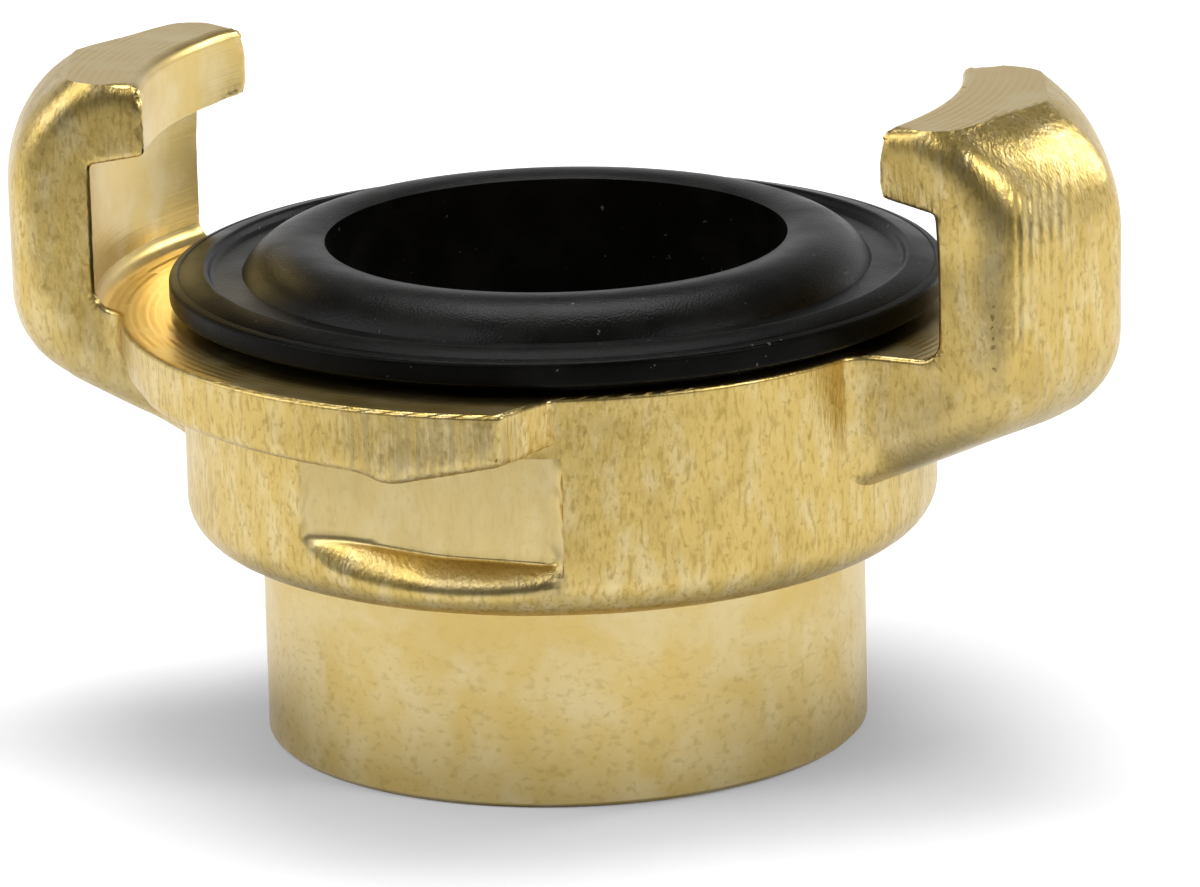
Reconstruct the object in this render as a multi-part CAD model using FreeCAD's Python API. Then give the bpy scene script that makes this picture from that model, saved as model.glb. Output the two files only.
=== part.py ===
# One half of a claw type quick hose coupling: a forged and turned brass body with an internal pipe thread,
# a moulded rubber profile seal in its face and a flat gasket at the bottom of the thread.
# Millimetres. The origin is the centre of the socket's end face, +Z runs up to the claws, which lie along X.
import FreeCAD
import Part

import os
from math import cos, hypot, radians, sin, sqrt, tan

from FreeCAD import Vector

# Socket, collar and flange
socket_radius = 14.9
socket_height = 10.25
socket_end_bevel = 0.25
collar_radius = 18.55
collar_height = 8.25
collar_rim_rounding = 2.1
flange_thickness = 3.0
flange_edge_rounding = 0.25

# Internal pipe thread, nominal size G 3/4
thread_major_radius = 13.22
thread_mouth_bevel = 0.7
thread_length = 10.6
relief_depth = 0.4
relief_height = 2.6
passage_radius = 10.0

# Two cams, the wings of the flange that the other half's claws slide under
cam_radius = 21.7
cam_offset = 0.26
cam_thin_end = 2.85
cam_thick_end = 3.3
detent_x = -3.2
detent_drop = 0.5
detent_ramp = 2.0
detent_rounding = 2.0
cam_rise_slope = 0.215
cam_end_x = 6.05
cam_end_draft = 22.0
cam_lower_rounding = 0.6
cam_blend = 1.5

# Claws: turned inside, forged outside with a parting ridge in the middle
claw_reach = 28.7
claw_wall_radius = 22.75
claw_foot_rounding = 1.0
claw_half_width = 7.45
claw_side_taper = 7.5
claw_ridge_slope = 0.40
claw_cam_side_rise = 0.05
claw_shoulder_rounding = 7.0
claw_heel_rounding = 4.1
claw_root_slope = 23.7
claw_root_height = 14.1
claw_edge_rounding = 2.0
claw_blend = 1.5
blend_bite = 0.02
forging_allowance = 0.85

# Hooks at the tops of the claws
hook_radius = 20.0
hook_gap = 7.75
hook_thickness = 3.5
hook_slope = 0.18
hook_corner_rounding = 0.3
hook_lip_rounding = 0.6

# Flats on the collar, each under a cam
flat_distance = 17.0
flat_end_x = 6.05
flat_ledge_height = 13.1
flat_ledge_slope = 42.0
flat_ledge_rounding = 1.0

# Seat for the profile seal
seat_floor_height = 17.2
undercut_radius = 15.2
undercut_height = 2.0
seat_mouth_radius = 13.9
seal_clearance = 0.2

# Profile seal
seal_bore_radius = 11.4
seal_rim_radius = 19.05
seal_rim_foot_radius = 17.6
seal_rim_lift = 0.7
seal_rim_height = 1.75
seal_rim_cone = 0.5
seal_step_radius = 17.1
seal_groove_height = 1.75
seal_bead_height = 3.48
seal_bead_radius = 12.6
seal_bead_rounding = 3.3
seal_edge_bevel = 0.25

# Thread gasket
gasket_thickness = 2.0
gasket_clearance = 0.2
gasket_overlap = 0.3

# Heights that follow from the sizes above
flange_bottom = socket_height + collar_height
flange_top = flange_bottom + flange_thickness
forged_top = flange_top + forging_allowance
hook_underside = flange_top + hook_gap
claw_top = hook_underside + hook_thickness
shoulder_height = thread_length + relief_height

# How far a cutting tool or a forged lug runs past what it cuts or joins, and how near counts as touching
overrun = 10.0
touch = 0.001


def rounded_wire(corners, place):
    """Closed wire through corners (u, v, rounding); place(u, v) puts a flat point in space."""
    joints = []
    count = len(corners)
    for index, (u, v, rounding) in enumerate(corners):
        here = Vector(u, v, 0)
        if not rounding:
            joints.append((here, here, here))
            continue
        back_u, back_v, _ = corners[index - 1]
        next_u, next_v, _ = corners[(index + 1) % count]
        back = (Vector(back_u, back_v, 0) - here).normalize()
        ahead = (Vector(next_u, next_v, 0) - here).normalize()
        half_turn = back.getAngle(ahead) / 2
        middle = (back + ahead).normalize()
        run = rounding / tan(half_turn)
        centre = here + middle * (rounding / sin(half_turn))
        joints.append((here + back * run, centre - middle * rounding, here + ahead * run))
    edges = []
    for index, (start, middle, end) in enumerate(joints):
        if start != end:
            edges.append(Part.Arc(place(*start[:2]), place(*middle[:2]), place(*end[:2])).toShape())
        following = joints[(index + 1) % count][0]
        if (following - end).Length > touch:
            edges.append(Part.makeLine(place(*end[:2]), place(*following[:2])))
    return Part.Wire(edges)


def upright(u, v):
    """A flat point (u, v) as (x, z) in the plane of the claws."""
    return Vector(u, 0, v)


def level(u, v):
    """A flat point (u, v) as (x, y) in the plane of the socket's end face."""
    return Vector(u, v, 0)


def crosswise(u, v):
    """A flat point (u, v) as (-y, z) in the plane across the claws."""
    return Vector(0, -u, v)


def turned(corners):
    """Solid of revolution about Z of a section with corners (radius, height, rounding)."""
    return Part.Face(rounded_wire(corners, upright)).revolve(Vector(0, 0, 0), Vector(0, 0, 1), 360)


def half_turned(shape):
    """The same shape on the opposite side of the axis."""
    copy = shape.copy()
    copy.rotate(Vector(0, 0, 0), Vector(0, 0, 1), 180)
    return copy


def marks(edge):
    """The ends and the middle of an edge."""
    middle = edge.valueAt((edge.FirstParameter + edge.LastParameter) / 2)
    return [vertex.Point for vertex in edge.Vertexes] + [middle]


def edges_where(shape, rule):
    """The edges of a shape whose ends and middle all keep a rule."""
    return [edge for edge in shape.Edges if all(rule(point) for point in marks(edge))]


def axis_distance(point):
    return hypot(point.x, point.y)


def side_blend(centre_x, radius, rounding):
    """Start, middle and end, in plan, of a blend from a round wall to the +Y side of the claw at +X."""
    slope = radians(claw_side_taper)
    along = Vector(cos(slope), sin(slope), 0)
    across = Vector(-sin(slope), cos(slope), 0)
    centre = Vector(centre_x, 0, 0)
    abreast = Vector(claw_wall_radius, claw_half_width, 0) + across * rounding - centre
    reach = radius - blend_bite + rounding
    run = sqrt(abreast.dot(along) ** 2 - abreast.dot(abreast) + reach ** 2) - abreast.dot(along)
    middle = centre + abreast + along * run
    start = centre + (middle - centre) * ((reach - rounding) / reach)
    end = middle - across * rounding
    inward = (start - middle + end - middle).normalize()
    return start, middle + inward * rounding, end


def claw_side_distance(point):
    """How far a point lies outside the tapered side faces of the nearer claw."""
    side_y = claw_half_width + (abs(point.x) - claw_wall_radius) * tan(radians(claw_side_taper))
    return abs(point.y) - side_y


def core_blank():
    """Socket and collar, forged a little higher than the flange's finished face."""
    return turned([
        (0, 0, 0),
        (socket_radius - socket_end_bevel, 0, 0),
        (socket_radius, socket_end_bevel, 0),
        (socket_radius, socket_height, 0),
        (collar_radius, socket_height, collar_rim_rounding),
        (collar_radius, forged_top, 0),
        (0, forged_top, 0),
    ])


def flat_cut():
    """What a flat takes off the collar, with a sloping ledge below it and a step at one end."""
    outside = collar_radius + overrun
    ledge_drop = (outside - flat_distance) * tan(radians(flat_ledge_slope))
    section = Part.Face(rounded_wire([
        (flat_distance, flange_bottom, 0),
        (flat_distance, flat_ledge_height, flat_ledge_rounding),
        (outside, flat_ledge_height - ledge_drop, 0),
        (outside, flange_bottom, 0),
    ], crosswise))
    section.translate(Vector(flat_end_x, 0, 0))
    return section.extrude(Vector(-flat_end_x - collar_radius, 0, 0))


def cam_underside():
    """Section of what lies under a cam: its lower face falls to the detent, drops there and rises behind it."""
    near = flange_top - cam_thick_end
    low = near - detent_drop
    fall = (cam_thick_end - cam_thin_end) / (cam_radius + detent_x)
    drop_x = detent_x + detent_ramp
    outside = cam_radius + overrun
    return Part.Face(rounded_wire([
        (-outside, 0, 0),
        (-outside, near + (outside + detent_x) * fall, 0),
        (detent_x, near, detent_rounding),
        (drop_x, low, detent_rounding),
        (outside, low + (outside - drop_x) * cam_rise_slope, 0),
        (outside, 0, 0),
    ], upright))


def cam():
    """One wing of the flange, a little off centre so that it stands prouder at its detent."""
    outside = cam_radius + overrun
    end_slope = tan(radians(cam_end_draft))
    plan = Part.makePolygon([
        level(-outside, 0),
        level(-outside, -outside),
        level(cam_end_x - (outside - flat_distance) * end_slope, -outside),
        level(cam_end_x + flat_distance * end_slope, 0),
        level(-outside, 0),
    ])
    disc = Part.makeCylinder(cam_radius, forged_top, Vector(cam_offset, 0, 0))
    wing = disc.common(Part.Face(plan).extrude(Vector(0, 0, forged_top)))
    under = cam_underside().extrude(Vector(0, -outside, 0))
    wing = wing.cut(under)
    centre = Vector(cam_offset, 0, 0)
    lower_edge = edges_where(wing, lambda point: abs(axis_distance(point - centre) - cam_radius) < touch
                             and point.z < flange_bottom + cam_rise_slope * cam_end_x)
    return [wing.makeFillet(cam_lower_rounding, lower_edge), cam_web().cut(under)]


def cam_web():
    """The blend between a cam's wall and the side of the claw that it runs up to."""
    start, middle, end = side_blend(-cam_offset, cam_radius, cam_blend)
    inside = level(passage_radius, 0)
    plan = Part.Face(Part.Wire([
        Part.Arc(start, middle, end).toShape(),
        Part.makeLine(end, inside),
        Part.makeLine(inside, start),
    ]))
    return half_turned(plan.extrude(Vector(0, 0, forged_top)))


def claw_blank():
    """The claw as forged: two drafted halves that meet in the parting ridge, with rounded edges."""
    root_x = passage_radius
    slope = tan(radians(claw_root_slope))
    top = claw_top + forging_allowance
    ridge = Part.Face(rounded_wire([
        (root_x, claw_root_height + (root_x - collar_radius) * slope, 0),
        (claw_reach, claw_root_height + (claw_reach - collar_radius) * slope, claw_heel_rounding),
        (claw_reach, top, claw_shoulder_rounding),
        (root_x, top, 0),
    ], upright))
    depth = claw_half_width + overrun
    gap_half = ridge.extrude(Vector(-claw_ridge_slope * depth, -depth, 0))
    cam_half = ridge.extrude(Vector(-claw_ridge_slope * depth, depth, claw_cam_side_rise * depth))
    lug = gap_half.fuse(cam_half).common(claw_plan().extrude(Vector(0, 0, top + overrun)))
    blend_end_x = side_blend(0, collar_radius, claw_blend)[-1].x
    side_edges = edges_where(lug, lambda point: abs(claw_side_distance(point)) < touch
                             and point.x > blend_end_x - touch)
    return lug.makeFillet(claw_edge_rounding, [edge for edge in side_edges
                                               if marks(edge)[-1].x > blend_end_x + touch])


def claw_plan():
    """The claw from above: tapered sides that run out into the collar in a blend."""
    start, middle, end = side_blend(0, collar_radius, claw_blend)
    outside = claw_reach + overrun
    outer_y = claw_half_width + (outside - claw_wall_radius) * tan(radians(claw_side_taper))
    edges = []
    for side in (1, -1):
        near, bend, far = [level(point.x, side * point.y) for point in (start, middle, end)]
        edges.append(Part.makeLine(level(passage_radius, near.y), near))
        edges.append(Part.Arc(near, bend, far).toShape())
        edges.append(Part.makeLine(far, level(outside, side * outer_y)))
    edges.append(Part.makeLine(level(outside, outer_y), level(outside, -outer_y)))
    edges.append(Part.makeLine(level(passage_radius, start.y), level(passage_radius, -start.y)))
    return Part.Face(Part.Wire(Part.sortEdges(edges)[0]))


def forging():
    """Collar, cams and claws in one."""
    core = core_blank().cut([flat_cut(), half_turned(flat_cut())])
    lugs = cam() + [claw_blank()]
    return core.fuse(lugs + [half_turned(lug) for lug in lugs]).removeSplitter()


def claw_turning():
    """What is turned out between the claws: the flange's face, the claw walls and the hooks' inner faces."""
    drop = (claw_wall_radius - hook_radius) * hook_slope
    above = claw_top + overrun
    return turned([
        (0, flange_top, 0),
        (claw_wall_radius, flange_top, claw_foot_rounding),
        (claw_wall_radius, hook_underside - drop, hook_corner_rounding),
        (hook_radius, hook_underside, 0),
        (hook_radius, above, 0),
        (0, above, 0),
    ])


def bore():
    """What is bored out: thread, relief, passage, and the seat with its undercut for the seal's hub."""
    relief_radius = thread_major_radius + relief_depth
    undercut_top = seat_floor_height + undercut_height
    above = flange_top + overrun
    return turned([
        (0, 0, 0),
        (thread_major_radius + thread_mouth_bevel, 0, 0),
        (thread_major_radius, thread_mouth_bevel, 0),
        (thread_major_radius, thread_length, 0),
        (relief_radius, thread_length, 0),
        (relief_radius, shoulder_height, 0),
        (passage_radius, shoulder_height, 0),
        (passage_radius, seat_floor_height, 0),
        (undercut_radius, seat_floor_height, 0),
        (undercut_radius, undercut_top, 0),
        (seat_mouth_radius, undercut_top, 0),
        (seat_mouth_radius, above, 0),
        (0, above, 0),
    ])


def coupling_body():
    """The forging, turned, bored and faced, with its machined edges broken."""
    width = 2 * (claw_reach + overrun)
    roof = Part.makeBox(width, width, overrun, Vector(-width / 2, -width / 2, claw_top))
    body = forging().cut([claw_turning(), bore(), roof]).removeSplitter()
    foot = claw_wall_radius - claw_foot_rounding
    face_edge = edges_where(body, lambda point: abs(point.z - flange_top) < touch
                            and axis_distance(point) > collar_radius - touch)
    face_edge = [edge for edge in face_edge if abs(axis_distance(marks(edge)[-1]) - foot) > touch]
    body = body.makeFillet(flange_edge_rounding, face_edge)
    lips = edges_where(body, lambda point: abs(point.z - claw_top) < touch
                       and abs(axis_distance(point) - hook_radius) < touch)
    return body.makeFillet(hook_lip_rounding, lips)


def profile_seal():
    """Moulded ring: hub with a snap-in foot, lifted rim, groove and raised bead round the bore."""
    foot_radius = undercut_radius - seal_clearance
    neck_radius = seat_mouth_radius - seal_clearance
    foot_top = seat_floor_height + undercut_height - seal_clearance
    rim_top = flange_top + seal_rim_height
    groove = flange_top + seal_groove_height
    ring = turned([
        (seal_bore_radius, seat_floor_height, 0),
        (foot_radius, seat_floor_height, 0),
        (foot_radius, foot_top, 0),
        (neck_radius, foot_top, 0),
        (neck_radius, flange_top, 0),
        (seal_rim_foot_radius, flange_top, 0),
        (seal_rim_radius - seal_edge_bevel, flange_top + seal_rim_lift - seal_edge_bevel / 2, 0),
        (seal_rim_radius, flange_top + seal_rim_lift + seal_edge_bevel, 0),
        (seal_rim_radius, rim_top - seal_edge_bevel, 0),
        (seal_rim_radius - seal_edge_bevel, rim_top, 0),
        (seal_step_radius + seal_edge_bevel, rim_top + seal_rim_cone, 0),
        (seal_step_radius, rim_top + seal_rim_cone - seal_edge_bevel, 0),
        (seal_step_radius, groove, 0),
        (seal_bore_radius, groove, 0),
    ])
    bead_top = flange_top + seal_bead_height
    bead_axis = bead_top - seal_bead_rounding
    bead_foot_run = sqrt(seal_bead_rounding ** 2 - (groove - bead_axis) ** 2)
    bore_run = seal_bead_radius - seal_bore_radius
    outer_foot = upright(seal_bead_radius + bead_foot_run, groove)
    inner_top = upright(seal_bore_radius, bead_axis + sqrt(seal_bead_rounding ** 2 - bore_run ** 2))
    inner_foot = upright(seal_bore_radius, groove)
    bead = Part.Face(Part.Wire([
        Part.Arc(outer_foot, upright(seal_bead_radius, bead_top), inner_top).toShape(),
        Part.makeLine(inner_top, inner_foot),
        Part.makeLine(inner_foot, outer_foot),
    ])).revolve(Vector(0, 0, 0), Vector(0, 0, 1), 360)
    return ring.fuse(bead).removeSplitter()


def thread_gasket():
    """Flat washer against the shoulder above the thread."""
    outer = thread_major_radius + relief_depth - gasket_clearance
    inner = passage_radius + gasket_overlap
    bottom = shoulder_height - gasket_thickness
    return turned([
        (inner, bottom, 0),
        (outer, bottom, 0),
        (outer, shoulder_height, 0),
        (inner, shoulder_height, 0),
    ])


os.makedirs("parts", exist_ok=True)
coupling_body().exportStep("parts/coupling_body.step")
profile_seal().exportStep("parts/profile_seal.step")
thread_gasket().exportStep("parts/thread_gasket.step")
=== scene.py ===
from math import cos, pi, radians, sin, tan

import bmesh
import bpy
import numpy as np
from mathutils import Matrix, Vector, noise


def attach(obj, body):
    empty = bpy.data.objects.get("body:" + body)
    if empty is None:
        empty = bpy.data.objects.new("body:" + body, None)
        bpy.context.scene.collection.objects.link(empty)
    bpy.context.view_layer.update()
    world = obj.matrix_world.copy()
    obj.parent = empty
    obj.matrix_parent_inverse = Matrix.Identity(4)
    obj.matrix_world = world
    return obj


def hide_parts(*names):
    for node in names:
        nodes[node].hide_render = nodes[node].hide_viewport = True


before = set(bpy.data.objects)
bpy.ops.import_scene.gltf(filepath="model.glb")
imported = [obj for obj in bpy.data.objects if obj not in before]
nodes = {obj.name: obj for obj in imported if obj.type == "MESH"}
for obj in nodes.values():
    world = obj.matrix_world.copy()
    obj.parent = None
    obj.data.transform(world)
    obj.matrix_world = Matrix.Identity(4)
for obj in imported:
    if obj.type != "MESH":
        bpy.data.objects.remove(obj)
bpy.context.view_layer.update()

# Sizes are in millimetres, unless a comment says otherwise, and become metres through this factor
MM = 0.001
WHITE = (1, 1, 1, 1)
BLACK = (0, 0, 0, 1)

# Picture and camera: the photograph's frame, and where the camera stood
PICTURE_WIDTH = 1200
FOCAL_PIXELS = 8300
SENSOR_WIDTH = 36.0
CLIP_START_METRES = 0.01
CLIP_END_METRES = 20.0
CAMERA_AZIMUTH = 19.0
CAMERA_ELEVATION = 15.65
CAMERA_ROLL = 1.43
CAMERA_DISTANCE = 410.0
TARGET_RIGHT = 1.9
TARGET_HEIGHT = 14.03

# Lamps: name, azimuth from the camera's, elevation, width and height in metres, radiance
LAMP_METRES_AWAY = 1.0
LAMPS = [
    ("left_box", -85, 30, 0.6, 0.6, 1.9),
    ("right_box", 119, 24, 0.2, 0.45, 7.5),
    ("front_left_box", -52, 50, 0.4, 0.4, 3.4),
    ("front_right_box", 58, 34, 0.24, 0.24, 11.0),
    ("top_box", -178, 72, 0.65, 0.55, 4.8),
]

# Floor: how far it reaches, its colour, and its glow for the camera and in the metal. The glow grows
# between two distances from the part's axis, so that the floor is darker near the part: a painted contact
# shadow.
FLOOR_METRES = 3.0
FLOOR_COLOR = (0.95, 0.95, 0.95, 1)
FLOOR_GLOW = 0.33
METAL_GLOW = 0.14
GLOW_NEAR = 0
GLOW_FAR = 34

# In the metal the floor in front of the part is dark: the front's azimuth from the camera's, the
# distances at which the dark starts and is full, and how dark it is
FRONT_AZIMUTH = -15
FRONT_NEAR = 66
FRONT_FAR = 90
FRONT_DARKNESS = 0.55

# Room: its brightness in general and low behind the part, the elevations between which the bright part
# ends, and the cosines to the camera's azimuth between which it starts
ROOM_TOP = 0.14
ROOM_BACK = 0.75
BACK_ELEVATIONS = (32, 13)
BACK_COSINES = (0.75, -0.2)

# Places on the body that its finish and its shape follow
FLANGE_TOP = 21.5
FLANGE_BOTTOM = 18.5
SOCKET_RADIUS = 14.9
SOCKET_HEIGHT = 10.25
COLLAR_RADIUS = 18.55
CLAW_WALL_RADIUS = 22.75
HOOK_UNDERSIDE = 29.25
CLAW_TOP = 32.75
CAM_RADIUS = 21.7
CAM_OFFSET = 0.26
FLAT_END_X = 6.05
FLAT_DISTANCE = 17.0
LEDGE_HEIGHT = 13.1
RIM_ROUNDING = 2.1
FLANGE_EDGE = 0.25
NEAR = 0.02

# Colours of the metal and the rubber
FORGED_COLOR = (0.68, 0.50, 0.165, 1)
TURNED_COLOR = (0.70, 0.515, 0.18, 1)
PALE_COLOR = (0.77, 0.62, 0.31, 1)
STAINED_COLOR = (0.42, 0.28, 0.07, 1)
# The grey is a stain on the detents, and painted shade on the claws' sides and feet and on the slope
# under the flats' steps
GREY_STAIN_AND_SHADE_COLOR = (0.36, 0.30, 0.17, 1)
PIT_COLOR = (0.10, 0.06, 0.02, 1)
RUBBER_COLOR = (0.0025, 0.0024, 0.002, 1)
BLOOM_COLOR = (0.006, 0.0057, 0.0048, 1)
DUST_COLOR = (0.4, 0.39, 0.36, 1)

# Bump heights of the finishes, the lathe's feed and the spacing of the grooves on the claws' corners
FORGED_BUMP = 0.055
TURNED_BUMP = 0.035
SOCKET_BUMP = 0.03
RUBBER_BUMP = 0.02
FEED = 0.42
RIB_SPACING = 0.5

# Bands of the finish and of painted shade: two ends, and how soft each end is. LENGTH is along the front
# flat, DEPTH is the distance from the part's middle plane, HEIGHT is from the floor.
FLAT_LENGTH_BAND = (-7.2, FLAT_END_X, 0.3)
FLAT_DEPTH_BAND = (16.0, 17.15, 0.1)
DETENT_LENGTH_BAND = (-3.3, 4.9, 0.5)
DETENT_HEIGHT_BAND = (17.0, 21.1, 0.3)
# The lens bands mark painted shade on the steep slope under the flat's step, below the wing
LENS_LENGTH_BAND = (-1.0, FLAT_END_X, 0.5)
LENS_HEIGHT_BAND = (11.7, 13.1, 0.2)
LENS_DEPTH_BAND = (17.0, 18.4, 0.15)

# The same on the claws, whose outer corners are measured towards one azimuth
CORNER_AZIMUTH = 109.0
CLAW_HEIGHT_BAND = (19.5, 29.5, 0.8)
GROOVED_BAND = (21.6, 24.6, 0.5)
# This band marks painted shade: a dark band on the claws' sides towards the gap
SIDE_SHADE_BAND = (19.9, 21.3, 0.4)
PITTED_BAND = (20.5, 20.75, 0.12)
PITTED_HEIGHT_BAND = (21.0, 25.0, 0.8)

# Ramps of the finish and of painted shade: where it starts and where it is full
FLAT_FOOT_RAMP = (12.6, 13.6)
DETENT_DEPTH_RAMP = (19.3, 19.9)
# The foot ramps mark painted shade low on the claws' feet
FOOT_REACH_RAMP = (17.5, 20.5)
FOOT_HEIGHT_RAMP = (22, 17)
# The socket grows darker towards its bottom between these heights
SOCKET_DARKENING_RAMP = (9.0, 5.5)
MATT_RIM_RAMP = (16.9, 17.5)

# Meshing: the turn in degrees above which an edge stays sharp, the longest edge on the outside, how
# often edges are halved at most, how near doubles lie, and how far beyond the socket's radius and below
# its top the outside starts
SMOOTH_TURN = 32.0
LONGEST_EDGE = 0.54
MOST_HALVINGS = 8
DOUBLE_DISTANCE = 0.001
OUTSIDE_MARGIN = 1

# Walls turned about an axis at (centre, 0): centre, radius and the side of the part, 0 for both
ROUND_WALLS = [(0.0, COLLAR_RADIUS, 0), (CAM_OFFSET, CAM_RADIUS, -1), (-CAM_OFFSET, CAM_RADIUS, 1)]

# How far a point may be from a round wall, or from the flange's rounded edge, to be put on it, and how
# near to that edge it has to be for an exact normal
WALL_CATCH = 0.015
EDGE_CATCH = 0.03
EDGE_FIT = 0.006

# Turned faces are told by their place and by how much of their normal points one way: along the axis
# or away from it, and towards it inside the claws. SLACK is for the place of the socket's wall, and the
# undersides of the hooks are looked for from CLAW_FLOOR_GAP above the flange.
FACING = 0.9
WALL_FACING = 0.1
WALL_SLACK = 0.1
CLAW_FLOOR_GAP = 1

# Ledges under the flats. The slope is long where the flat runs out and steep at the flat's step, and
# turns from one into the other over STEEP_LENGTH. It starts at LEDGE_HEIGHT, or LEDGE_RISE higher where
# it is long, and drops by these shares of twice the flat's depth, and by LEAST_DROP more.
STEEP_FROM = -5.5
STEEP_LENGTH = 6
LEDGE_RISE = 0.5
LONG_DROP = 1.05
STEEP_DROP_CHANGE = 0.42
LEAST_DROP = 0.3

# Where the ledges are shaped: their half length, their gap to the socket's height, their top and their
# least distance from the middle plane. Their normals come from samples this far apart, and count where
# the slope is more than level and farther than a gap from the flat's step.
LEDGE_HALF_LENGTH = 7.35
LEDGE_FOOT_GAP = 0.3
LEDGE_TOP = 15.2
LEDGE_LEAST_Y = 15.5
LEDGE_SAMPLE = 0.1
LEDGE_LEVEL = 0.02
LEDGE_STEP_GAP = 1.2

# How far each hook's side bulges where it leaves the claw, and how far it leans out at its top
HOOK_BULGE = 0.35
HOOK_LEAN = 0.35

# Where the hooks' sides are bent, each as a start or an end and a width
HOOK_BULGE_REACH = (19.4, 3.4)
HOOK_OUTER_REACH = (25.6, 2.8)
HOOK_ASIDE = (3, 2)
HOOK_HEIGHT = (26.2, 3.2)
HOOK_LEAST_RADIUS = 19

# How far the claws' outer walls bulge between their ridge and their sides, how wide each half is, and
# where the bulge starts
WALL_BULGE = 0.25
WALL_WIDTH = 7.0
WALL_REACH = (23.4, 2)

# Softening of the forged edges: the share of the way to the neighbours' mean, and the passes in places
# that the die rounds more or less than the rest
SOFTENING = 0.5
TIP_SOFTENING = 0.6
COLLAR_PASSES = 3
TIP_PASSES = 6
STEP_PASSES = 7
FOOT_PASSES = 14
HEEL_PASSES = 10

# Those places: beyond the collar, the hooks' tips, the flats' steps, and the claws' feet and heels. Pairs
# are a start or an end and a width.
COLLAR_GAP = 0.3
TIP_HEIGHT = (29.7, 0.8)
TIP_LEAST = 0.25
TIP_BELOW = 0.5
TIP_RADIUS = 22
TIP_ASIDE = 4.6
STEP_REACH = 1.2
STEP_BELOW = 0.3
FOOT_TOP = (FLANGE_TOP - 0.3, 0.6)
FOOT_BOTTOM = (15.5, 1)
FOOT_INNER = (16, 1)
HEEL_RADIUS = (24.3, 1)
HEEL_TOP = (25.5, 1.5)

# Relief that the die and tumbling leave: its depths, the width of its features, how much they are
# stretched upwards, where the dents' noise starts, and how many points it takes to fade at an edge
WAVE_DEPTH, WAVE_WIDTH = 0.035, 3.2
DENT_DEPTH, DENT_WIDTH = 0.006, 1.1
RELIEF_UPWARD = 0.6
DENT_SHIFT = Vector((31, 7, 3))
RELIEF_FADE = 3

# Profile seal: outline as radius, height and rounding, and the bead's arc
RING_SEGMENTS = 288
CORNER_STEPS = 8
SEAL_OUTLINE = [
    (11.4, 17.2, 0.3),
    (15.0, 17.2, 0.25),
    (15.0, 19.0, 0.25),
    (13.7, 19.0, 0),
    (13.7, 21.5, 0),
    (17.6, 21.5, 0.5),
    (19.05, 22.2, 0.2),
    (19.05, 23.25, 0.24),
    (18.62, 23.36, 0),
    (18.55, 23.30, 0.04),
    (18.45, 23.40, 0),
    (17.22, 23.72, 0.28),
    (16.95, 23.25, 0.28),
    (15.5, 23.25, 0),
]
BEAD_CENTRE = (12.6, 21.68)
BEAD_ROUNDING = 3.3
BEAD_START_ANGLE, BEAD_END_ANGLE = 30, 112
BEAD_STEPS = 26
BEAD_INNER_CORNER = (11.4, 24.5)

# Flat gasket: outline as radius, height and rounding
GASKET_OUTLINE = [(10.3, 11.2, 0.2), (13.42, 11.2, 0.2), (13.42, 13.2, 0.2), (10.3, 13.2, 0.2)]

# Pipe thread. Its section goes up the ridge as places in pitches and rises from root to crest. The ridge
# fades in and out within a turn divided by THREAD_FADE.
THREAD_MAJOR_RADIUS = 13.22
THREAD_MINOR_RADIUS = 12.06
THREAD_PITCH = 1.814
THREAD_START = 0.75
THREAD_END = 10.5
THREAD_STEPS = 96
THREAD_FADE = 2
THREAD_SECTION = [
    (0.5, 0.0), (0.42, 0.12), (0.14, 0.88), (0.05, 0.98),
    (-0.05, 0.98), (-0.14, 0.88), (-0.42, 0.12), (-0.5, 0.0),
]


def direction(azimuth, elevation):
    """Unit vector from the part towards an azimuth and an elevation in degrees; 0 is the -Y side."""
    a, e = radians(azimuth), radians(elevation)
    return Vector((sin(a) * cos(e), -cos(a) * cos(e), sin(e)))


def add_camera():
    """The camera at the photograph's angle, aimed at a place a little beside the part's axis."""
    towards = direction(CAMERA_AZIMUTH, CAMERA_ELEVATION)
    side = direction(CAMERA_AZIMUTH + 90, 0)
    upwards = towards.cross(side)
    target = (side * TARGET_RIGHT + Vector((0, 0, TARGET_HEIGHT))) * MM
    roll = radians(CAMERA_ROLL)
    right = side * cos(roll) - upwards * sin(roll)
    up = side * sin(roll) + upwards * cos(roll)
    data = bpy.data.cameras.new("photo_camera")
    data.sensor_fit = "HORIZONTAL"
    data.sensor_width = SENSOR_WIDTH
    data.lens = FOCAL_PIXELS / PICTURE_WIDTH * data.sensor_width
    data.clip_start = CLIP_START_METRES
    data.clip_end = CLIP_END_METRES
    camera = bpy.data.objects.new("photo_camera", data)
    turn = Matrix((right, up, towards)).transposed().to_4x4()
    camera.matrix_world = Matrix.Translation(target + towards * CAMERA_DISTANCE * MM) @ turn
    bpy.context.scene.collection.objects.link(camera)
    bpy.context.scene.camera = camera


def add_lamp(name, azimuth, elevation, width, height, radiance):
    """A rectangular soft lamp that faces the part; its azimuth is counted from the camera's."""
    data = bpy.data.lights.new(name, "AREA")
    data.shape = "RECTANGLE"
    data.size = width
    data.size_y = height
    data.energy = radiance * width * height * pi
    lamp = bpy.data.objects.new(name, data)
    towards = direction(CAMERA_AZIMUTH + azimuth, elevation)
    lamp.location = towards * LAMP_METRES_AWAY + Vector((0, 0, TARGET_HEIGHT * MM))
    lamp.rotation_euler = towards.to_track_quat("Z", "Y").to_euler()
    bpy.context.scene.collection.objects.link(lamp)


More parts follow.
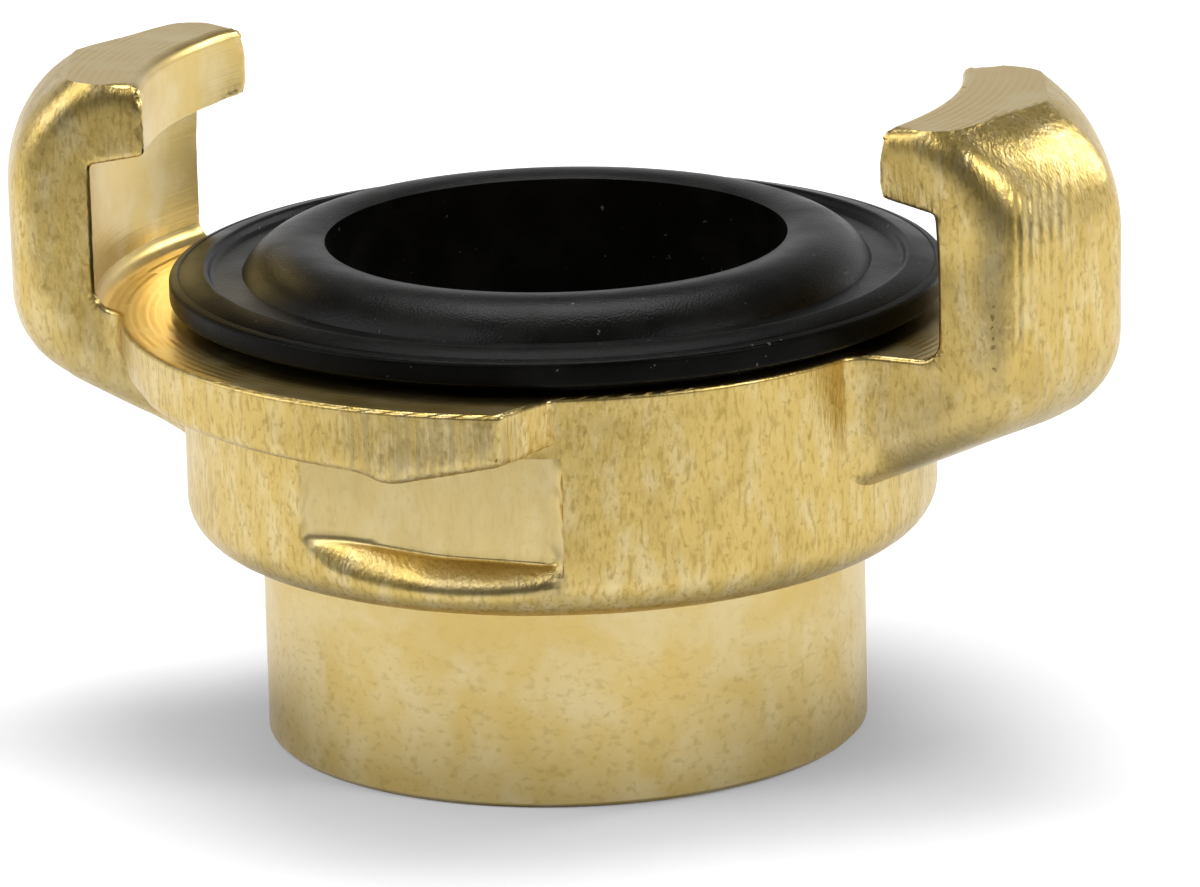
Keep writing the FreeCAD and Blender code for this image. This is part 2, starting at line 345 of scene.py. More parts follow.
class Shader:
    """Small helper that adds and links the nodes of one material or world."""

    def __init__(self, tree):
        self.tree = tree

    def add(self, kind, values=None, **settings):
        """A new node with its settings, and with a value or a link for some of its inputs."""
        node = self.tree.nodes.new(kind)
        for key, value in settings.items():
            setattr(node, key, value)
        for key, value in (values or {}).items():
            self.put(node.inputs[key], value)
        return node

    def put(self, socket, value):
        """Links a socket to an input, or sets the input to a plain value."""
        if isinstance(value, bpy.types.NodeSocket):
            self.tree.links.new(value, socket)
        else:
            socket.default_value = value

    def math(self, operation, *values):
        """The result of a math node."""
        node = self.add("ShaderNodeMath", operation=operation)
        for index, value in enumerate(values):
            self.put(node.inputs[index], value)
        return node.outputs[0]

    def times(self, product, *factors):
        """The product of sockets and numbers."""
        for factor in factors:
            product = self.math("MULTIPLY", product, factor)
        return product

    def scaled(self, value, factor, added):
        """A value times a factor, and something added."""
        return self.math("MULTIPLY_ADD", value, factor, added)

    def place(self):
        """The place on the part or the floor, in metres."""
        return self.add("ShaderNodeTexCoord").outputs["Object"]

    def split(self, place):
        """The X, Y and Z of a place."""
        return list(self.add("ShaderNodeSeparateXYZ", {0: place}).outputs)

    def along(self, place, towards):
        """How far a place lies in a direction."""
        values = {0: place, 1: tuple(towards)}
        return self.add("ShaderNodeVectorMath", values, operation="DOT_PRODUCT").outputs["Value"]

    def length(self, place):
        """How far a place lies from the origin."""
        return self.add("ShaderNodeVectorMath", {0: place}, operation="LENGTH").outputs["Value"]


def new_material(name):
    """An empty material and the helper for its nodes."""
    material = bpy.data.materials.new(name)
    material.use_nodes = True
    material.node_tree.nodes.clear()
    return material, Shader(material.node_tree)


def floor_material():
    """Pale floor. The camera sees it white, with a painted contact shadow where its glow fades near the
    part. The metal sees it duller near the part, the same painted shadow, and dark in front of the part.
    From below it is clear."""
    material, shader = new_material("pale_floor")
    path = shader.add("ShaderNodeLightPath")
    glossy = path.outputs["Is Glossy Ray"]
    place = shader.place()
    ahead = shader.along(place, direction(CAMERA_AZIMUTH + FRONT_AZIMUTH, 0))
    dark = shader.times(ramp_mm(shader, ahead, FRONT_NEAR, FRONT_FAR), glossy, FRONT_DARKNESS)
    color = blend_color(shader, dark, FLOOR_COLOR, BLACK)
    diffuse = shader.add("ShaderNodeBsdfDiffuse", {"Color": color})
    # The glow fades towards the part: a painted contact shadow, for the camera and in the metal
    growth = ramp_mm(shader, shader.length(place), GLOW_NEAR, GLOW_FAR)
    metal = shader.times(shader.math("SUBTRACT", glossy, dark), METAL_GLOW)
    seen = shader.math("MAXIMUM", shader.times(path.outputs["Is Camera Ray"], FLOOR_GLOW), metal)
    strength = shader.times(seen, growth)
    glow = shader.add("ShaderNodeEmission", {"Color": WHITE, "Strength": strength})
    both = shader.add("ShaderNodeAddShader", {0: diffuse.outputs[0], 1: glow.outputs[0]})
    clear = shader.add("ShaderNodeBsdfTransparent")
    below = shader.add("ShaderNodeNewGeometry").outputs["Backfacing"]
    sided = shader.add("ShaderNodeMixShader", {0: below, 1: both.outputs[0], 2: clear.outputs[0]})
    shader.add("ShaderNodeOutputMaterial", {"Surface": sided.outputs[0]})
    return material


def add_floor():
    """A large flat floor under the part."""
    mesh = bpy.data.meshes.new("floor")
    reach = FLOOR_METRES
    corners = [(-reach, -reach, 0), (reach, -reach, 0), (reach, reach, 0), (-reach, reach, 0)]
    mesh.from_pydata(corners, [], [(0, 1, 2, 3)])
    mesh.materials.append(floor_material())
    floor = bpy.data.objects.new("floor", mesh)
    bpy.context.scene.collection.objects.link(floor)


def set_world():
    """White behind the part for the camera; for the part a soft room, brightest low behind it."""
    world = bpy.data.worlds.new("studio")
    world.use_nodes = True
    world.node_tree.nodes.clear()
    shader = Shader(world.node_tree)
    path = shader.add("ShaderNodeLightPath")
    toward = shader.add("ShaderNodeTexCoord").outputs["Generated"]
    front = shader.along(toward, direction(CAMERA_AZIMUTH, 0))
    height = shader.split(toward)[2]
    behind = ramp(shader, front, *BACK_COSINES)
    high, low = (sin(radians(elevation)) for elevation in BACK_ELEVATIONS)
    share = shader.times(ramp(shader, height, high, low), behind)
    strength = shader.scaled(share, ROOM_BACK - ROOM_TOP, ROOM_TOP)
    studio = shader.add("ShaderNodeBackground", {"Color": WHITE, "Strength": strength})
    white = shader.add("ShaderNodeBackground", {"Color": WHITE, "Strength": 1.0})
    mixed = shader.add("ShaderNodeMixShader", {
        0: path.outputs["Is Camera Ray"], 1: studio.outputs[0], 2: white.outputs[0]})
    shader.add("ShaderNodeOutputWorld", {"Surface": mixed.outputs[0]})
    bpy.context.scene.world = world


def principled(shader, **values):
    """The surface shader of a material; a word such as Base_Color names the input Base Color."""
    inputs = {key.replace("_", " "): value for key, value in values.items()}
    surface = shader.add("ShaderNodeBsdfPrincipled", inputs)
    shader.add("ShaderNodeOutputMaterial", {"Surface": surface.outputs[0]})


def noise_value(shader, place, scale, detail=2.0, upward=1, distortion=0.0):
    """Noise between 0 and 1: scale is the number of its features in a millimetre, and upward is how many
    of them there are upwards for each one sideways."""
    scales = (scale / MM, scale / MM, scale / MM * upward)
    spread = shader.add("ShaderNodeVectorMath", {0: place, 1: scales}, operation="MULTIPLY")
    texture = shader.add("ShaderNodeTexNoise", {
        "Vector": spread.outputs[0], "Scale": 1.0, "Detail": detail, "Distortion": distortion})
    return texture.outputs[0]


def ramp(shader, value, low, high):
    """0 below low, 1 above high and smooth between them."""
    node = shader.add("ShaderNodeMapRange", {"Value": value, "From Min": low, "From Max": high},
                      interpolation_type="SMOOTHSTEP")
    return node.outputs[0]


def ramp_mm(shader, value, low, high):
    """The same for a value in metres and limits in millimetres."""
    return ramp(shader, value, low * MM, high * MM)


def band(shader, value, low, high, soft):
    """1 where a value, in metres, lies between two limits given in millimetres, with soft ends."""
    return shader.times(ramp_mm(shader, value, low - soft, low + soft),
                        ramp_mm(shader, value, high + soft, high - soft))


def spots(shader, place, scale, low, high, **settings):
    """0 where a noise is below low, 1 where it is above high; the rest is as for noise_value."""
    return ramp(shader, noise_value(shader, place, scale, **settings), low, high)


def blend_color(shader, share, first, second):
    """The first colour where share is 0, and the second where it is 1."""
    node = shader.add("ShaderNodeMix", data_type="RGBA")
    for socket, value in ((node.inputs[0], share), (node.inputs[6], first), (node.inputs[7], second)):
        shader.put(socket, value)
    return node.outputs[2]


def tinted(shader, color, tint, *factors):
    """A colour that turns into a tint by the product of some factors."""
    return blend_color(shader, shader.times(*factors), color, tint)


def bumped(shader, height, distance):
    """Normals of a relief with this height."""
    node = shader.add("ShaderNodeBump", {"Height": height, "Distance": distance * MM})
    return node.outputs[0]


def die_places(shader, place):
    """Masks for the flats' struck faces, the stained detents, the claws' grooved and pitted corners, and
    painted shade on the claws' sides and feet and on the slope under the flats' steps; and how far a
    place lies towards those corners."""
    x, y, height = shader.split(place)
    side = shader.math("SIGN", shader.times(y, -1.0))
    length = shader.times(x, side)
    depth = shader.math("ABSOLUTE", y)
    flat = shader.times(band(shader, length, *FLAT_LENGTH_BAND), band(shader, depth, *FLAT_DEPTH_BAND),
                        ramp_mm(shader, height, *FLAT_FOOT_RAMP))
    detent = shader.times(band(shader, length, *DETENT_LENGTH_BAND),
                          band(shader, height, *DETENT_HEIGHT_BAND),
                          ramp_mm(shader, depth, *DETENT_DEPTH_RAMP))
    corner = shader.times(shader.along(place, direction(CORNER_AZIMUTH, 0)), side)
    standing = band(shader, height, *CLAW_HEIGHT_BAND)
    grooved = shader.times(band(shader, corner, *GROOVED_BAND), standing)
    pitted = shader.times(band(shader, corner, *PITTED_BAND), band(shader, height, *PITTED_HEIGHT_BAND))
    # Painted shade: a dark band on the claws' sides towards the gap
    painted_shade = shader.times(band(shader, corner, *SIDE_SHADE_BAND), standing, 0.8)
    # Painted shade low on the claws' feet
    foot_shade = shader.times(ramp_mm(shader, shader.math("ABSOLUTE", x), *FOOT_REACH_RAMP),
                        ramp_mm(shader, height, *FOOT_HEIGHT_RAMP))
    # Painted shade on the steep slope under the flat's step, below the wing
    lens = shader.times(band(shader, length, *LENS_LENGTH_BAND), band(shader, height, *LENS_HEIGHT_BAND),
                        band(shader, depth, *LENS_DEPTH_BAND))
    # All painted shade: the claws' sides, their feet and the slope under the flats' steps
    painted_shade = shader.math("MAXIMUM", painted_shade, shader.math("MAXIMUM", foot_shade, lens))
    return flat, detent, grooved, pitted, painted_shade, corner


def forged_brass():
    """Satin brass as it leaves the die: pale and yellow patches, stains and a grain that runs upwards,
    and painted shade on the claws' sides and feet and under the flats' steps.
    """
    material, shader = new_material("forged_brass")
    place = shader.place()
    flat, detent, grooved, pitted, painted_shade, corner = die_places(shader, place)
    skin = shader.math("SUBTRACT", 1.0, shader.times(flat, 0.8))
    mottle = noise_value(shader, place, 0.6, detail=4.0, upward=0.45, distortion=0.3)
    patches = spots(shader, place, 0.9, 0.42, 0.72, detail=8.0, upward=0.4, distortion=0.2)
    blotches = spots(shader, place, 0.5, 0.5, 0.75, detail=6.0, upward=0.8, distortion=0.5)
    grain = noise_value(shader, place, 6.0, detail=5.0, upward=0.3)
    streaks = spots(shader, place, 4.4, 0.48, 0.68, detail=8.0, upward=0.33)
    specks = spots(shader, place, 3.2, 0.56, 0.72, detail=7.0, upward=0.8)
    stripes = spots(shader, place, 3.0, 0.4, 0.6, detail=3.0, upward=0.05)
    pits = shader.times(spots(shader, place, 4.0, 0.62, 0.68, detail=0.0), pitted)
    color = tinted(shader, FORGED_COLOR, PALE_COLOR, patches, 0.9)
    color = tinted(shader, color, STAINED_COLOR, blotches, 0.34)
    color = tinted(shader, color, PALE_COLOR, flat, 0.55)
    color = tinted(shader, color, STAINED_COLOR, streaks, 0.58, skin)
    color = tinted(shader, color, STAINED_COLOR, specks, 0.6, skin)
    color = tinted(shader, color, GREY_STAIN_AND_SHADE_COLOR, detent, shader.scaled(stripes, 0.3, 0.15))
    # Painted shade, mottled, in the grey
    color = tinted(shader, color, GREY_STAIN_AND_SHADE_COLOR, painted_shade, shader.scaled(mottle, 0.5, 0.25))
    color = tinted(shader, color, PIT_COLOR, pits, 0.6)
    rough = shader.scaled(mottle, 0.18, 0.22)
    heights = shader.scaled(mottle, 0.6, shader.times(grain, 0.45))
    ribs = shader.math("SINE", shader.times(corner, 2 * pi / (RIB_SPACING * MM)))
    heights = shader.scaled(shader.times(ribs, grooved), 0.5, heights)
    heights = shader.scaled(shader.times(detent, stripes), 0.3, heights)
    heights = shader.scaled(pits, -1.2, shader.times(heights, skin))
    principled(shader, Base_Color=color, Metallic=1.0, Roughness=rough,
               Normal=bumped(shader, heights, FORGED_BUMP))
    return material


def turned_brass():
    """Faces cut on a lathe: brighter, with fine rings and the tool's feed marks about the axis."""
    material, shader = new_material("turned_brass")
    place = shader.place()
    x, y, height = shader.split(place)
    squares = shader.math("ADD", shader.times(x, x), shader.times(y, y))
    distance = shader.math("SQRT", squares)
    rings = shader.add("ShaderNodeCombineXYZ", {0: distance, 2: height}).outputs[0]
    fine = noise_value(shader, rings, 7.0)
    wide = noise_value(shader, rings, 1.6, detail=1.0)
    feed = shader.math("SINE", shader.times(distance, 2 * pi / (FEED * MM)))
    haze = noise_value(shader, place, 0.35, detail=4.0)
    worn = ramp(shader, haze, 0.65, 0.4)
    specks = spots(shader, place, 2.8, 0.70, 0.8, detail=3.0)
    color = blend_color(shader, ramp(shader, haze, 0.4, 0.7), TURNED_COLOR, PALE_COLOR)
    color = tinted(shader, color, STAINED_COLOR, specks, 0.5)
    rough = shader.scaled(haze, 0.15, 0.24)
    heights = shader.scaled(fine, 0.35, shader.times(wide, 0.4))
    heights = shader.scaled(shader.times(feed, worn), 0.16, heights)
    principled(shader, Base_Color=color, Metallic=1.0, Roughness=rough,
               Normal=bumped(shader, heights, TURNED_BUMP))
    return material


def socket_brass():
    """The smooth socket, with faint stains, and darker towards its bottom, where more of the stain colour
    is mixed in.
    """
    material, shader = new_material("socket_brass")
    place = shader.place()
    haze = noise_value(shader, place, 0.3, detail=5.0, distortion=0.4)
    stain = spots(shader, place, 2.0, 0.5, 0.7, detail=8.0, upward=1.4, distortion=0.3)
    specks = spots(shader, place, 6.0, 0.62, 0.76, detail=4.0, upward=1.6)
    low = ramp_mm(shader, shader.split(place)[2], *SOCKET_DARKENING_RAMP)
    color = blend_color(shader, ramp(shader, haze, 0.35, 0.7), TURNED_COLOR, PALE_COLOR)
    # More of the stain colour towards the bottom, so the socket is darker there
    color = tinted(shader, color, STAINED_COLOR, stain, shader.scaled(low, 0.7, 0.3), 0.35)
    color = tinted(shader, color, STAINED_COLOR, specks, 0.28)
    rough = shader.scaled(haze, 0.12, 0.25)
    principled(shader, Base_Color=color, Metallic=1.0, Roughness=rough,
               Normal=bumped(shader, haze, SOCKET_BUMP))
    return material


def rubber():
    """Black moulded rubber with a soft sheen, a matt rim and a little dust."""
    material, shader = new_material("black_rubber")
    place = shader.place()
    bloom = spots(shader, place, 0.4, 0.35, 0.8, detail=4.0)
    dust = spots(shader, place, 3.2, 0.76, 0.80, detail=1.0)
    grain = noise_value(shader, place, 9.0)
    color = blend_color(shader, bloom, RUBBER_COLOR, BLOOM_COLOR)
    color = tinted(shader, color, DUST_COLOR, dust, 0.25)
    rough = shader.scaled(bloom, 0.12, 0.28)
    flattened = shader.add("ShaderNodeVectorMath", {0: place, 1: (1, 1, 0)}, operation="MULTIPLY")
    matt = ramp_mm(shader, shader.length(flattened.outputs[0]), *MATT_RIM_RAMP)
    shine = shader.scaled(matt, -0.08, 0.14)
    principled(shader, Base_Color=color, Roughness=rough, Specular_IOR_Level=shine,
               Normal=bumped(shader, grain, RUBBER_BUMP))
    return material


def distances(points):
    """How far points lie from the axis."""
    return np.hypot(points[:, 0], points[:, 1])


def soft_step(values):
    """0 below 0, 1 above 1 and smooth between them."""
    share = np.clip(values, 0, 1)
    return share * share * (3 - 2 * share)


def rising(values, start, width):
    """0 below start, 1 from start + width on and smooth between them."""
    return soft_step((values - start) / width)


def falling(values, end, width):
    """1 up to end - width, 0 above end and smooth between them."""
    return soft_step((end - values) / width)


def node_triangles(node):
    """A CAD node's points, in millimetres, with doubles joined, and its triangles."""
    mesh = bmesh.new()
    mesh.from_mesh(nodes[node].data)
    bmesh.ops.remove_doubles(mesh, verts=mesh.verts, dist=DOUBLE_DISTANCE * MM)
    bmesh.ops.triangulate(mesh, faces=mesh.faces)
    points = np.array([vertex.co for vertex in mesh.verts]) / MM
    triangles = np.array([[vertex.index for vertex in face.verts] for face in mesh.faces])
    mesh.free()
    return points, triangles


def is_outside(points):
    """Which places are on the outside of the body, where its fine relief is."""
    return ((distances(points) > SOCKET_RADIUS + OUTSIDE_MARGIN)
            & (points[:, 2] > SOCKET_HEIGHT - OUTSIDE_MARGIN))


def on_flange_edge(points, centre, wall, side, within):
    """Which points lie on the rounded upper edge of a round wall, and their places in its section."""
    radius = np.hypot(points[:, 0] - centre, points[:, 1])
    across = radius - wall + FLANGE_EDGE
    above = points[:, 2] - FLANGE_TOP + FLANGE_EDGE
    reach = np.hypot(across, above)
    near = (across > -NEAR) & (above > -NEAR) & (np.abs(reach - FLANGE_EDGE) < within)
    return near & (side * points[:, 1] >= 0), radius, across, above, reach


def on_round_walls(points):
    """The same points, with those near the body's round walls and round flange edges moved onto them."""
    fitted = points.copy()
    for centre, wall, side in ROUND_WALLS + [(0.0, CLAW_WALL_RADIUS, 0)]:
        away = fitted[:, :2] - (centre, 0.0)
        radius = np.hypot(away[:, 0], away[:, 1])
        near = (np.abs(radius - wall) < WALL_CATCH) & (side * fitted[:, 1] >= 0)
        fitted[near, :2] = away[near] * (wall / radius[near])[:, None] + (centre, 0.0)
    for centre, wall, side in ROUND_WALLS:
        edge, radius, across, above, reach = on_flange_edge(fitted, centre, wall, side, EDGE_CATCH)
        scale = FLANGE_EDGE / reach[edge]
        grown = (wall - FLANGE_EDGE + across[edge] * scale) / radius[edge]
        fitted[edge, :2] = (fitted[edge, :2] - (centre, 0.0)) * grown[:, None] + (centre, 0.0)
        fitted[edge, 2] = FLANGE_TOP - FLANGE_EDGE + above[edge] * scale
    return fitted


def edge_normals(points):
    """Exact normals on the flange's rounded upper edge, and zeros elsewhere."""
    normals = np.zeros_like(points)
    for centre, wall, side in ROUND_WALLS:
        edge, radius, across, above, reach = on_flange_edge(points, centre, wall, side, EDGE_FIT)
        outward = (points[edge, :2] - (centre, 0.0)) / radius[edge][:, None]
        normals[edge, :2] = outward * (np.maximum(across[edge], 0) / reach[edge])[:, None]
        normals[edge, 2] = np.maximum(above[edge], 0) / reach[edge]
    return normals


def ledge_reach(along, height):
    """How far out the skin lies at a flat: on the flat, on the slope below it, or on the collar."""
    fall = np.clip(SOCKET_HEIGHT + RIM_ROUNDING - height, 0, RIM_ROUNDING)
    rim = COLLAR_RADIUS - RIM_ROUNDING + np.sqrt(RIM_ROUNDING ** 2 - fall ** 2)
    depth = np.maximum(np.sqrt(np.maximum(COLLAR_RADIUS ** 2 - along ** 2, 0)) - FLAT_DISTANCE, 0)
    wall = np.sqrt(np.maximum(rim ** 2 - along ** 2, 0)) - FLAT_DISTANCE
    steep = rising(along, STEEP_FROM, STEEP_LENGTH)
    top = LEDGE_HEIGHT + LEDGE_RISE * (1 - steep)
    drop = 2 * depth * (LONG_DROP - STEEP_DROP_CHANGE * steep) + LEAST_DROP
    share = 1 - (1 - np.clip((top - height) / drop, 0, 1)) ** 2
    return FLAT_DISTANCE + wall * share


def soften_ledges(points):
    """Shapes the slope under each flat: long where the flat runs out, short and steep at its step.
    Returns its exact normals, with zeros elsewhere."""
    side = np.sign(points[:, 1])
    along = -side * points[:, 0]
    height = points[:, 2]
    near = (np.abs(along) < LEDGE_HALF_LENGTH) & (along < FLAT_END_X - NEAR)
    near &= (height > SOCKET_HEIGHT + LEDGE_FOOT_GAP) & (height < LEDGE_TOP)
    near &= np.abs(points[:, 1]) > LEDGE_LEAST_Y
    along, height, side = along[near], height[near], side[near]
    points[near, 1] = side * ledge_reach(along, height)
    span = LEDGE_SAMPLE
    sideways = (ledge_reach(along + span, height) - ledge_reach(along - span, height)) / (2 * span)
    upwards = (ledge_reach(along, height + span) - ledge_reach(along, height - span)) / (2 * span)
    exact = np.column_stack((side * sideways, side, -upwards))
    exact /= np.linalg.norm(exact, axis=1)[:, None]
    exact[(np.abs(upwards) < LEDGE_LEVEL) | (along > FLAT_END_X - LEDGE_STEP_GAP)] = 0
    normals = np.zeros_like(points)
    normals[near] = exact
    return normals


def bend_hooks(points):
    """The hooks' sides towards the gap: they bulge where they leave the claw and lean out at the top."""
    angle = np.arctan2(points[:, 1], points[:, 0])
    radius = distances(points)
    reach = np.abs(points[:, 0])
    height = points[:, 2]
    start, width = HOOK_BULGE_REACH
    bulge = HOOK_BULGE * np.clip((reach - start) / width, 0, 1)
    lean = HOOK_LEAN * np.clip((height - HOOK_UNDERSIDE) / (CLAW_TOP - HOOK_UNDERSIDE), 0, 1)
    moved = (bulge + lean) * falling(reach, *HOOK_OUTER_REACH) * rising(np.abs(points[:, 1]), *HOOK_ASIDE)
    gap_side = points[:, 0] * points[:, 1] < 0
    moved *= rising(height, *HOOK_HEIGHT) * gap_side * (radius > HOOK_LEAST_RADIUS)
    angle -= moved / np.maximum(radius, 1)
    points[:, 0] = radius * np.cos(angle)
    points[:, 1] = radius * np.sin(angle)


def bulge_walls(points):
    """The claws' outer walls, a little rounder from side to side than flat."""
    share = np.clip(np.abs(points[:, 1]) / WALL_WIDTH, 0, 1)
    outer = rising(np.abs(points[:, 0]), *WALL_REACH)
    points[:, 0] += np.sign(points[:, 0]) * outer * WALL_BULGE * 4 * share * (1 - share)


def triangle_sides(triangles):
    """The three sides of each triangle, as sorted pairs of points."""
    return np.sort(triangles[:, [0, 1, 1, 2, 2, 0]].reshape(-1, 2), axis=1)


def triangle_normals(corners):
    """Normals of triangles, as long as twice their areas."""
    return np.cross(corners[:, 1] - corners[:, 0], corners[:, 2] - corners[:, 0])


def halved(points, triangles):
    """Points and triangles with every long edge on the outside halved once, or None without any."""
    edges, place = np.unique(triangle_sides(triangles), axis=0, return_inverse=True)
    starts, ends = points[edges[:, 0]], points[edges[:, 1]]
    middles = (starts + ends) / 2
    long = (np.linalg.norm(ends - starts, axis=1) > LONGEST_EDGE) & is_outside(middles)
    if not long.any():
        return None
    number = np.full(len(edges), -1)
    number[long] = len(points) + np.arange(long.sum())
    cuts = number[place.reshape(-1, 3)]
    for _ in range(2):
        turn = (cuts[:, 0] < 0) | ((cuts[:, 1] < 0) & (cuts[:, 2] >= 0))
        triangles[turn] = np.roll(triangles[turn], -1, axis=1)
        cuts[turn] = np.roll(cuts[turn], -1, axis=1)
    points = np.vstack((points, on_round_walls(middles[long])))
    a, b, c = triangles.T
    ab, bc, ca = cuts.T
    count = (cuts >= 0).sum(axis=1)
    parts = [triangles[count == 0]]
    for wanted, patterns in ((1, ((a, ab, c), (ab, b, c))),
                             (2, ((ab, b, bc), (a, ab, bc), (a, bc, c))),
                             (3, ((a, ab, ca), (ab, b, bc), (ca, bc, c), (ab, bc, ca)))):
        chosen = count == wanted
        parts += [np.column_stack([corner[chosen] for corner in pattern]) for pattern in patterns]
    return points, np.vstack(parts)


def cut_finely(points, triangles):
    """Halves the long edges on the outside until none is left."""
    for _ in range(MOST_HALVINGS):
        finer = halved(points, triangles)
        if finer is None:
            break
        points, triangles = finer
    return points, triangles


def face_kinds(points, triangles):
    """For each triangle: 0 on a forged face, 1 on a turned one, 2 on the socket's wall."""
    corners = points[triangles]
    centres = corners.mean(axis=1)
    normals = triangle_normals(corners)
    normals /= np.maximum(np.linalg.norm(normals, axis=1), 1e-12)[:, None]
    radius = distances(centres)
    outward = (normals[:, :2] * centres[:, :2]).sum(axis=1) / np.maximum(radius, NEAR)
    height = centres[:, 2]
    upward = normals[:, 2]
    in_claws = np.hypot(corners[:, :, 0], corners[:, :, 1]).max(axis=1) < CLAW_WALL_RADIUS + NEAR
    turned = radius < SOCKET_RADIUS - WALL_SLACK
    turned |= height < SOCKET_HEIGHT + NEAR
    turned |= (np.abs(height - FLANGE_TOP) < NEAR) & (upward > FACING)
    turned |= np.abs(height - CLAW_TOP) < NEAR
    turned |= (height > FLANGE_TOP + NEAR) & in_claws & (outward < -WALL_FACING)
    turned |= (height > FLANGE_TOP + CLAW_FLOOR_GAP) & in_claws & (upward < -FACING)
    on_socket = (height < SOCKET_HEIGHT) & (outward > FACING) & (radius > SOCKET_RADIUS - WALL_SLACK)
    kinds = turned.astype(int)
    kinds[on_socket] = 2
    return kinds


def neighbour_pairs(triangles):
    """All pairs of points that share an edge."""
    return np.unique(triangle_sides(triangles), axis=0)


def neighbour_means(values, pairs, pulls):
    """For each point, the mean of a value, or of a place, over its neighbours, weighed by their pulls."""
    count = len(values)
    ends = np.concatenate((pairs[:, 0], pairs[:, 1]))
    others = np.concatenate((pairs[:, 1], pairs[:, 0]))
    both = np.concatenate((pulls, pulls))
    tally = np.bincount(ends, both, count)
    sums = [np.bincount(ends, column[others] * both, count) for column in values.reshape(count, -1).T]
    return (np.array(sums) / np.maximum(tally, 1e-12)).T.reshape(values.shape)


def squared_lengths(points, pairs):
    """How hard neighbours pull: a far one more than a near one, so that slivers don't hold the form."""
    return ((points[pairs[:, 0]] - points[pairs[:, 1]]) ** 2).sum(axis=1) + 1e-6


def smoothed(points, pairs, weights, passes):
    """Moves points towards their neighbours' means, each by its weight, a number of times."""
    for _ in range(passes):
        means = neighbour_means(points, pairs, squared_lengths(points, pairs))
        points += (means - points) * weights[:, None]


def point_normals(points, triangles):
    """Unit normals at points, as the mean over their triangles, weighed by area."""
    normals = triangle_normals(points[triangles])
    sums = np.zeros_like(points)
    for corner in range(3):
        for axis in range(3):
            sums[:, axis] += np.bincount(triangles[:, corner], normals[:, axis], len(points))
    return sums / np.maximum(np.linalg.norm(sums, axis=1), 1e-12)[:, None]


def relief_depths(points):
    """How deep the forged skin lies under the CAD face at each point: waves and dents."""
    depths = np.zeros(len(points))
    for index, point in enumerate(points):
        place = Vector((point[0], point[1], point[2] * RELIEF_UPWARD))
        wave = noise.noise(place / WAVE_WIDTH) * 0.5 + 0.5
        dent = noise.noise(place / DENT_WIDTH + DENT_SHIFT) * 0.5 + 0.5
        depths[index] = WAVE_DEPTH * wave + DENT_DEPTH * dent * dent
    return depths


def free_points(points, triangles, kinds):
    """1 at points that touch forged faces alone and aren't on the flange's rounded edge, 0 elsewhere."""
    forged = np.zeros(len(points))
    forged[triangles[kinds == 0].ravel()] = 1.0
    held = np.zeros(len(points), dtype=bool)
    held[triangles[kinds != 0].ravel()] = True
    above = points[:, 2] - FLANGE_TOP + FLANGE_EDGE / 2
    held |= (np.abs(above) < FLANGE_EDGE / 2 + NEAR) & (distances(points) < CLAW_WALL_RADIUS)
    return forged * ~held


def soften_forging(points, pairs, free):
    """Shapes ledges, hooks and walls and rounds the forged edges, each place with its own passes. The
    radius and the place along a flat are those of the CAD shape. Returns the ledges' exact normals."""
    radius = distances(points)
    along = -np.sign(points[:, 1]) * points[:, 0]
    exact_normals = soften_ledges(points)
    bend_hooks(points)
    bulge_walls(points)
    smoothed(points, pairs, free * (radius > COLLAR_RADIUS + COLLAR_GAP) * SOFTENING, COLLAR_PASSES)
    height = points[:, 2]
    start, width = TIP_HEIGHT
    tips = np.clip((height - start) / width, TIP_LEAST, 1) * (height > HOOK_UNDERSIDE - TIP_BELOW)
    tips = tips * np.clip(TIP_RADIUS - radius, 0, 1) * np.clip(np.abs(points[:, 1]) - TIP_ASIDE, 0, 1)
    smoothed(points, pairs, tips * TIP_SOFTENING, TIP_PASSES)
    step = np.clip(STEP_REACH - np.abs(along - FLAT_END_X), 0, 1) * (height < FLANGE_BOTTOM - STEP_BELOW)
    smoothed(points, pairs, step * free * SOFTENING, STEP_PASSES)
    feet = falling(height, *FOOT_TOP) * rising(height, *FOOT_BOTTOM)
    feet = feet * rising(np.abs(points[:, 0]), *FOOT_INNER)
    smoothed(points, pairs, feet * free * SOFTENING, FOOT_PASSES)
    heels = rising(radius, *HEEL_RADIUS) * falling(height, *HEEL_TOP)
    smoothed(points, pairs, heels * free * SOFTENING, HEEL_PASSES)
    return exact_normals


def smooth_mesh(name, verts, faces):
    """A mesh with smooth shading that breaks at the edges that turn by more than SMOOTH_TURN."""
    data = bpy.data.meshes.new(name)
    data.from_pydata(verts, [], faces)
    data.polygons.foreach_set("use_smooth", [True] * len(faces))
    data.set_sharp_from_angle(angle=radians(SMOOTH_TURN))
    return data


def new_piece(name, mesh):
    """An object of the part that rides on the frame."""
    piece = bpy.data.objects.new(name, mesh)
    bpy.context.scene.collection.objects.link(piece)
    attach(piece, "root")
    return piece


def brass_body():
    """The forging: the CAD shape with softened forged edges and the relief of the die."""
    points, triangles = cut_finely(*node_triangles("coupling_body"))
    kinds = face_kinds(points, triangles)
    pairs = neighbour_pairs(triangles)
    free = free_points(points, triangles, kinds)
    exact_normals = soften_forging(points, pairs, free)
    weight = free.copy()
    for _ in range(RELIEF_FADE):
        weight = np.minimum(neighbour_means(weight, pairs, np.ones(len(pairs))), free)
    loose = free > 0
    normals = point_normals(points, triangles)
    points[loose] -= normals[loose] * (relief_depths(points[loose]) * weight[loose])[:, None]
    data = smooth_mesh("brass_forging", (points * MM).tolist(), triangles.tolist())
    data.polygons.foreach_set("material_index", kinds)
    for material in (forged_brass(), turned_brass(), socket_brass()):
        data.materials.append(material)
    exact_normals += edge_normals(points)
    data.normals_split_custom_set(exact_normals[triangles.ravel()].tolist())
    piece = new_piece("brass_forging", data)
    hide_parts("coupling_body")


